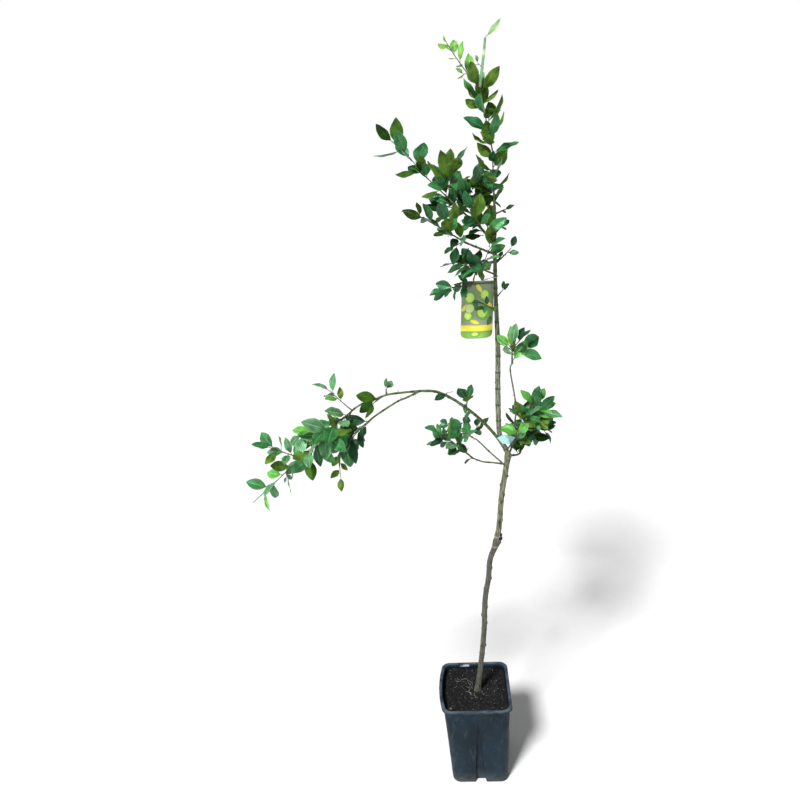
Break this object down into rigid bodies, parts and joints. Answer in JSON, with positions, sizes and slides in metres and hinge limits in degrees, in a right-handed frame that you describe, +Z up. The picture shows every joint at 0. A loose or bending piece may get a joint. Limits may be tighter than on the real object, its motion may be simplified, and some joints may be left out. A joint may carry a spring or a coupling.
{
  "type": "potted citrus tree",
  "caption": "Young lime tree in a square nursery pot: one slender grafted trunk, a slim leader and a side bough arching out low to one side, small glossy leaves, a picture label.",
  "frame": {"origin": "centre of the pot's flat underside, where it stands on the floor", "axes": "+Z up along the tree, -Y towards the viewer of the front, -X towards the side the long bough arches to"},
  "size_m": [0.5918, 0.4064, 1.4957],
  "materials": {
    "pot": "satin",
    "soil": "matte",
    "bark": "matte",
    "foliage": "satin",
    "card": "satin",
    "tie": "satin",
    "tag": "satin"
  },
  "bodies": {
    "root": {"bough_arch_lower": "bark", "bough_arch_rise": "bark", "bough_arch_span": "bark", "bough_arch_upper": "bark", "bough_left_low": "bark", "bough_left_low_front": "bark", "bough_lower_left": "bark", "bough_right_low": "bark", "bough_right_main": "bark", "bough_right_upright": "bark", "bough_upper_left": "bark", "foliage_arch_end": "foliage", "foliage_arch_inner": "foliage", "foliage_arch_leaf_a": "foliage", "foliage_arch_leaf_b": "foliage", "foliage_arch_leaf_c": "foliage", "foliage_arch_leaf_d": "foliage", "foliage_back_middle": "foliage", "foliage_back_right": "foliage", "foliage_back_upper": "foliage", "foliage_crown_top": "foliage", "foliage_front_spray": "foliage", "foliage_inner_left": "foliage", "foliage_left_low_back": "foliage", "foliage_left_low_front": "foliage", "foliage_low_hanging": "foliage", "foliage_low_left": "foliage", "foliage_lower_left": "foliage", "foliage_right_back": "foliage", "foliage_right_blade": "foliage", "foliage_right_front": "foliage", "foliage_right_leaf": "foliage", "foliage_right_main": "foliage", "foliage_right_sprig": "foliage", "foliage_right_twig": "foliage", "foliage_right_upper": "foliage", "foliage_upper_left": "foliage", "label": "card", "label_loop": "tie", "leader": "bark", "pot": "pot", "soil": "soil", "tag": "tag", "trunk": "bark"}
  },
  "joints": []
}
